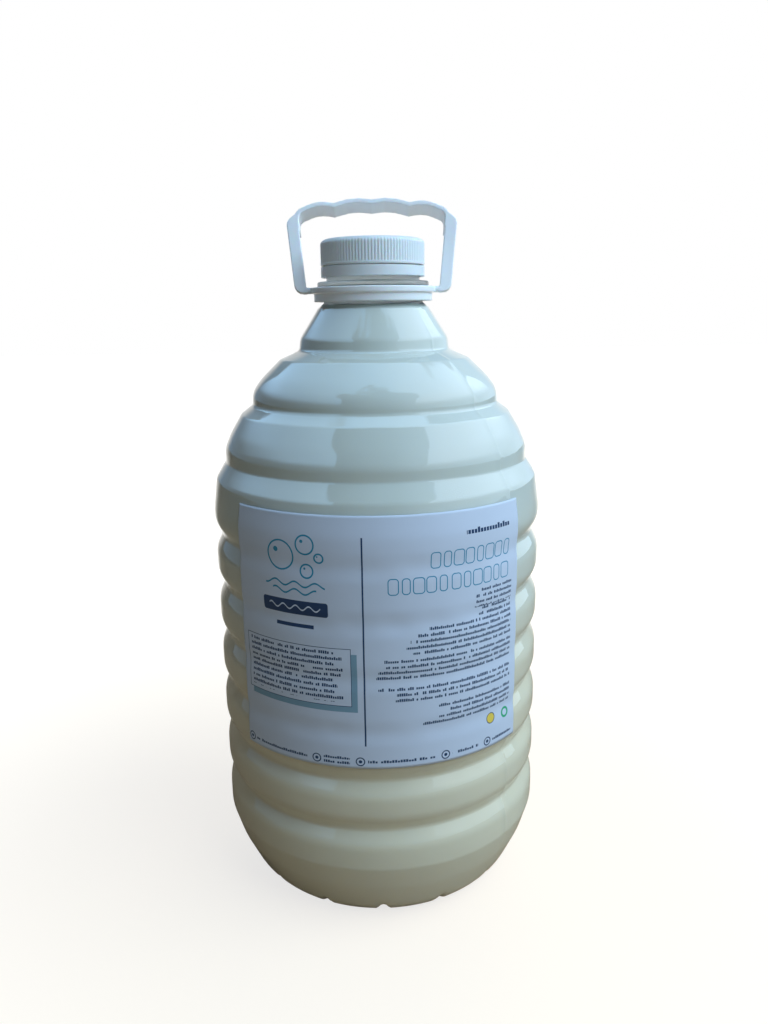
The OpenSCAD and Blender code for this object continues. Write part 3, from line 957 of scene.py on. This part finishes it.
class BOTTLE_OT_stage(bpy.types.Operator):
    """Set the camera, the floor, the lamps and the white backdrop"""

    bl_idname = "bottle.stage"
    bl_label = "Stage"

    def execute(self, context):
        self.camera(context.scene)
        self.floor()
        self.lamps(context.scene)
        self.world(context.scene)
        context.scene.view_settings.view_transform = "Standard"
        return {"FINISHED"}

    def camera(self, scene):
        forward = Vector((sin(YAW) * cos(TILT), cos(YAW) * cos(TILT), -sin(TILT)))
        right = Vector((cos(YAW), -sin(YAW), 0))
        up = right.cross(forward)
        side = right * cos(ROLL) + up * sin(ROLL)
        top = up * cos(ROLL) - right * sin(ROLL)
        data = bpy.data.cameras.new("Camera")
        data.sensor_fit = "VERTICAL"
        data.sensor_height = SENSOR
        data.lens = SENSOR * LENS_PIXELS / PICTURE_PIXELS
        data.clip_start = 0.01
        camera = bpy.data.objects.new("Camera", data)
        turn = Matrix((side, top, -forward)).transposed()
        camera.matrix_world = Matrix.Translation(CAMERA_PLACE) @ turn.to_4x4()
        scene.collection.objects.link(camera)
        scene.camera = camera

    def floor(self):
        bm = bmesh.new()
        bmesh.ops.create_grid(bm, x_segments=2, y_segments=2, size=FLOOR_HALF)
        material, n, shader = new_material(
            "White floor", Base_Color=(*FLOOR_TONE, 1), Roughness=0.9, Emission_Color=(*WHITE, 1)
        )
        place = n.place()
        away = n.add("ShaderNodeVectorMath", {0: place}, operation="LENGTH").outputs["Value"]
        back = n.math("DIVIDE", n.parts(place)["Y"], away)
        seen = backdrop_seen(n, n.ramp(back, *BACK_OF_FLOOR))
        # Emitted white, dimmer near the object: a painted contact shadow round its foot
        white_past_painted_shadow = n.times(seen, n.ramp(away, *FLOOR_PAINTED_SHADOW_SPAN, *FLOOR_WHITE))
        n.link(white_past_painted_shadow, shader.inputs["Emission Strength"])
        floor = finished("Floor", bm, material)

    def lamps(self, scene):
        """Area lamps that light the object and are seen by no camera, mirror or glass."""
        for name, place, size, energy, colour in LAMPS:
            data = bpy.data.lights.new(name, "AREA")
            data.shape = "RECTANGLE"
            data.size, data.size_y = size
            data.energy = energy
            data.color = colour
            lamp = bpy.data.objects.new(name, data)
            lamp.visible_camera = False
            lamp.visible_glossy = False
            lamp.visible_transmission = False
            turn = (Vector(AIM) - Vector(place)).to_track_quat("-Z", "Y")
            lamp.matrix_world = Matrix.Translation(place) @ turn.to_matrix().to_4x4()
            scene.collection.objects.link(lamp)

    def world(self, scene):
        """Plain light on surfaces, a sky and a tree for reflections, and white behind the object."""
        world = bpy.data.worlds.new("Studio")
        world.use_nodes = True
        n = Nodes(world.node_tree)
        away = n.place("Generated")
        x, y, z = n.parts(away)
        lean = n.math("MULTIPLY_ADD", z, LIGHT_LEAN[1], n.times(x, LIGHT_LEAN[0]))
        light = n.mix(n.ramp(lean, *LIGHT_SPAN), *LIGHT)
        beside = n.math("DIVIDE", n.math("ABSOLUTE", n.minus(x, TREE_X)), TREE_HALF)
        above = n.math("DIVIDE", n.math("MAXIMUM", z, 0.0), TREE_TOP)
        outside = n.plus(*(n.math("POWER", share, TREE_POWER) for share in (beside, above)))
        leaves = n.math("MULTIPLY_ADD", n.noise(away, scale=2.6, detail=3.0), LEAVES, -LEAVES / 2)
        open_sky = n.ramp(n.plus(leaves, outside), *TREE_EDGE)
        room = n.mix(n.ramp(x, *ROOM_SPAN), *ROOM)
        clouds = n.mix(n.ramp(x, *SKY_SPAN), *SKY)
        sky = n.mix(n.times(n.ramp(z, *SKYLINE), open_sky), room, clouds)
        mirrored = n.mix(n.add("ShaderNodeLightPath").outputs["Is Glossy Ray"], light, sky)
        colour = n.mix(backdrop_seen(n, n.ramp(y, *BACK_OF_WORLD)), mirrored, WHITE)
        n.link(colour, world.node_tree.nodes["Background"].inputs["Color"])
        scene.world = world


class BOTTLE_OT_shell(bpy.types.Operator):
    """Blow the clear bottle with its grooves, flutes, parting lines and neck"""

    bl_idname = "bottle.shell"
    bl_label = "Shell"

    def execute(self, context):
        wall = sizes().wall / MM
        neck = neck_path()
        inner = body_inside(wall)[:-1]
        outer_rows = divided(rounded(body_path() + neck + [inner[-1]])[:-1], BODY_ROWS)
        inner_rows = divided(rounded([neck[-1]] + inner[::-1], INNER_ARC_STEP)[1:], BODY_ROWS)
        bm = bmesh.new()
        blow(bm, inner_rows, wall, blow(bm, outer_rows, 0))
        shell = finished("bottle_shell", bm, shell_material())
        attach(shell, "bottle")
        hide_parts("bottle")
        return {"FINISHED"}


class BOTTLE_OT_contents(bpy.types.Operator):
    """Fill the bottle with milky detergent"""

    bl_idname = "bottle.contents"
    bl_label = "Contents"

    def execute(self, context):
        gap = (sizes().wall - sizes().soak) / MM
        points = divided(rounded(body_inside(gap)), BODY_ROWS)
        rows = [p for p in points if p.y < FILL_Z]
        above = next(p for p in points if p.y >= FILL_Z)
        rim = rows[-1].lerp(above, (FILL_Z - rows[-1].y) / (above.y - rows[-1].y))
        rows.append(rim)
        rows += [Vector((rim.x - inwards, FILL_Z - down)) for inwards, down in MENISCUS]
        rows.append(Vector((0, FILL_Z - MENISCUS[-1][1])))
        bm = bmesh.new()
        blow(bm, rows, gap)
        liquid = finished("detergent_fill", bm, liquid_material())
        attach(liquid, "bottle")
        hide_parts("detergent")
        return {"FINISHED"}


class BOTTLE_OT_label(bpy.types.Operator):
    """Stick the printed label over the grooves"""

    bl_idname = "bottle.label"
    bl_label = "Label"

    def execute(self, context):
        run = (Vector(between(SIDE_TOP, WAIST_1, SIDE_BROW, 0)[:2]) - Vector(SIDE_TOP)).normalized()
        run *= LABEL_H - (SIDE_TOP[1] - LABEL_Z)
        top = (SIDE_TOP[0] + run.x, SIDE_TOP[1] + run.y, 0)
        path = [(BODY_R, LABEL_Z, 0), (*SIDE_TOP, SHOULDER_ROUND), top]
        shares = [2 * k / LABEL_COLUMNS - 1 for k in range(LABEL_COLUMNS + 1)]
        turns = [LABEL_TURN + LABEL_HALF * share for share in shares]
        skins = []
        bm = bmesh.new()
        for gap in (LABEL_GAP, LABEL_GAP + LABEL_T):
            rows = []
            for point in divided(rounded(moved(path, -gap)), LABEL_ROWS):
                places = [around(point.x - self.sink(point.y, turn), turn, point.y) for turn in turns]
                rows.append([bm.verts.new(place) for place in places])
            skins.append(rows)
        self.close(bm, skins)
        label = finished("label_print", bm, label_material())
        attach(label, "bottle")
        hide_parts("label")
        return {"FINISHED"}

    def sink(self, z, turn):
        """How far the label lies inside its plain cylinder, in millimetres."""
        near = min(abs(z - GROOVE_Z - n * GROOVE_PITCH) for n in range(GROOVE_COUNT))
        hollow = max(0, 1 - near / (GROOVE_W / 2))
        hollow = hollow * hollow * (3 - 2 * hollow)
        ripple = noise.noise(Vector((turn * RIPPLE_ROUND, z / RIPPLE_UP, RIPPLE_SEED)))
        return hollow * (1 + RIPPLE * ripple) * sizes().label_sink / MM

    def close(self, bm, skins):
        """Faces of a thin closed sheet between two grids of vertices."""
        edges = []
        for skin in skins:
            for low, high in zip(skin, skin[1:]):
                for k in range(len(low) - 1):
                    bm.faces.new((low[k], low[k + 1], high[k + 1], high[k]))
            right = [row[-1] for row in skin[1:-1]]
            left = [row[0] for row in skin[-2:0:-1]]
            edges.append(skin[0] + right + skin[-1][::-1] + left)
        join(bm, *edges)


class BOTTLE_OT_cap(bpy.types.Operator):
    """Mould the ribbed cap with its inside thread"""

    bl_idname = "bottle.cap"
    bl_label = "Cap"

    def execute(self, context):
        white = moulded_material(
            "Moulded cap plastic", colours().cap, scale=1400.0, depth=0.000012,
            Specular_IOR_Level=0.35, Subsurface_Weight=0.25, Subsurface_Scale=0.002,
        )
        ribs = sizes().ribs
        root = CAP_R - RIB_INSET - RIB_OUT
        path = [
            (0, CAP_TOP - CAP_PANEL, 0),
            (CAP_BORE, CAP_TOP - CAP_PANEL, BORE_ROUND),
            (CAP_BORE, CAP_Z, EDGE_ROUND),
            (CAP_R, CAP_Z, BORE_ROUND),
            (CAP_R, CAP_Z + RIB_FOOT, RIB_ROUND),
            (root, CAP_Z + RIB_FOOT + RIB_STEP, RIB_ROUND),
            (root, CAP_TOP, CAP_ROUND),
            (CAP_R - CAP_RIM[0], CAP_TOP, DISH_ROUND),
            (CAP_R - CAP_RIM[1], CAP_TOP - CAP_DISH, DISH_ROUND),
            (0, CAP_TOP - CAP_DISH, 0),
        ]
        low = CAP_Z + RIB_FOOT + RIB_START[0]
        high = CAP_TOP - RIB_HEAD + RIB_FADE
        fine = columns(ribs * RIB_COLUMNS, False)
        coarse = columns(ribs * PLAIN_RIB_COLUMNS, False)

        def ribbed(point):
            return point.x > root - SIDE_DEPTH and low < point.y < high

        def place(point, turn):
            if not ribbed(point):
                return point.x, point.y
            wave = 0.5 + 0.5 * cos(turn * ribs)
            lift = RIB_OUT * wave ** RIB_POWER * min(1, (high - point.y) / RIB_FADE)
            if point.y < low + RIB_START[1]:
                return max(point.x, root + lift), point.y
            return point.x + lift, point.y

        bm = bmesh.new()
        rows = divided(rounded(path), CAP_ROWS)
        turned(bm, rows, lambda point: fine if ribbed(point) else coarse, place)
        cap = finished("cap_ribbed", bm, white)
        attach(cap, "cap")
        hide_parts("cap")
        self.threads(white)
        self.band(white)
        self.liner()
        return {"FINISHED"}

    def threads(self, white):
        """Three starts on the neck and three inside the cap, a clearance apart."""
        clear = bpy.data.materials["Clear blown plastic"]
        for name, radius, side, body, slot, z, turn, material in (
            ("neck_thread", FINISH_R, 1, "bottle", "clear_plastic", NECK_THREAD_Z, 0.0, clear),
            ("cap_thread", CAP_BORE, -1, "cap", "cap_plastic", CAP_THREAD_Z, CAP_THREAD_TURN, white),
        ):
            bm = bmesh.new()
            for k in range(THREAD_STARTS):
                start = turn + k * tau / THREAD_STARTS
                helix(bm, radius, side, sizes().thread / MM, z, start)
            thread = finished(name, bm, material)
            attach(thread, body)

    def band(self, white):
        """Tamper band with rounded edges and its inner lip."""
        lip = FINISH_R + RUN_GAP
        top = BAND_Z + BAND_H
        path = [
            (lip, BAND_Z + BAND_LIP[0], 0),
            (lip, BAND_Z, BAND_ROUND),
            (CAP_R, BAND_Z, LIP_ROUND),
            (CAP_R, top, EDGE_ROUND),
            (CAP_BORE, top, EDGE_ROUND),
            (CAP_BORE, BAND_Z + BAND_SLOPE_Z, EDGE_ROUND),
            (lip, BAND_Z + BAND_LIP[1], 0),
        ]
        points = rounded(path)
        turns = columns(BAND_COLUMNS, False)
        bm = bmesh.new()
        turned(bm, points + points[:1], lambda point: turns, lambda point, turn: (point.x, point.y))
        bmesh.ops.remove_doubles(bm, verts=bm.verts, dist=TINY)
        band = finished("tamper_ring", bm, white)
        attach(band, "bottle")
        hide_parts("tamper_band")

    def liner(self):
        foam = moulded_material("Liner foam", colours().foam, scale=2200.0, depth=0.00004)
        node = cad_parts["cap_liner"]
        node.data.materials.clear()
        node.data.materials.append(foam)


class BOTTLE_OT_handle(bpy.types.Operator):
    """Mould the carrying handle with soft edges and its twist straps"""

    bl_idname = "bottle.handle"
    bl_label = "Handle"

    def execute(self, context):
        plastic = moulded_material(
            "Moulded handle plastic", colours().handle, scale=1100.0, depth=0.00002,
            Subsurface_Weight=0.15, Subsurface_Scale=0.002,
        )
        for name, node in (("neck_ring", "handle_ring"), ("carry_grip", "handle_grip")):
            piece = self.softened(name, node, plastic)
            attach(piece, node)
            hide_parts(node)
        for name, side in (("strap_left", -1), ("strap_right", 1)):
            piece = self.strap(name, side, plastic)
            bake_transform(piece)
        return {"FINISHED"}

    def strap(self, name, side, material):
        """Short round strap from a tab of the ring into an arm's foot."""
        bm = bmesh.new()
        loops = []
        for k in range(STRAP_STEPS + 1):
            share = k / STRAP_STEPS
            x = side * (STRAP_ENDS[0] + (STRAP_ENDS[1] - STRAP_ENDS[0]) * share)
            radius = STRAP_R * min(1, STRAP_TAPER[0] + STRAP_TAPER[1] * min(share, 1 - share))
            loop = []
            for m in range(STRAP_SIDES):
                turn = tau * m / STRAP_SIDES
                place = Vector((x, radius * cos(turn), STRAP_Z + radius * sin(turn)))
                loop.append(bm.verts.new(place * MM))
            loops.append(loop)
        tube(bm, loops)
        return finished(name, bm, material)

    def softened(self, name, node, material):
        """A copy of a node's solid with moulded, slightly rounded edges."""
        bm = bmesh.new()
        bm.from_mesh(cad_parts[node].data)
        bmesh.ops.remove_doubles(bm, verts=bm.verts, dist=TINY)
        piece = finished(name, bm, material)
        remesh = piece.modifiers.new("Remesh", "REMESH")
        remesh.mode = "VOXEL"
        remesh.voxel_size = sizes().voxel
        smooth = piece.modifiers.new("Smooth", "SMOOTH")
        smooth.factor = 0.5
        smooth.iterations = 6
        graph = bpy.context.evaluated_depsgraph_get()
        mesh = bpy.data.meshes.new_from_object(piece.evaluated_get(graph))
        piece.modifiers.clear()
        piece.data = mesh
        mesh.shade_smooth()
        return piece


class BOTTLE_PT_panel(bpy.types.Panel):
    """Sizes, colours and steps of the bottle"""

    bl_idname = "BOTTLE_PT_panel"
    bl_label = "Detergent Bottle"
    bl_space_type = "VIEW_3D"
    bl_region_type = "UI"
    bl_category = "Bottle"

    def draw(self, context):
        for group in (sizes(), colours()):
            column = self.layout.column()
            for name in group.bl_rna.properties.keys():
                if name not in ("rna_type", "name"):
                    column.prop(group, name)
        for step in STEPS:
            self.layout.operator(step.bl_idname)


STEPS = (
    BOTTLE_OT_stage,
    BOTTLE_OT_shell,
    BOTTLE_OT_contents,
    BOTTLE_OT_label,
    BOTTLE_OT_cap,
    BOTTLE_OT_handle,
)
CLASSES = (BottleSizes, BottleColours, *STEPS, BOTTLE_PT_panel)


def register():
    for item in CLASSES:
        bpy.utils.register_class(item)
    bpy.types.Scene.bottle_sizes = PointerProperty(type=BottleSizes)
    bpy.types.Scene.bottle_colours = PointerProperty(type=BottleColours)


def unregister():
    del bpy.types.Scene.bottle_colours
    del bpy.types.Scene.bottle_sizes
    for item in reversed(CLASSES):
        bpy.utils.unregister_class(item)


def plain(box):
    return [[float(value) for value in corner] for corner in box]


def main():
    register()
    bpy.ops.bottle.stage()
    bpy.ops.bottle.shell()
    bpy.ops.bottle.contents()
    bpy.ops.bottle.label()
    bpy.ops.bottle.cap()
    bpy.ops.bottle.handle()


if __name__ == "__main__":
    main()
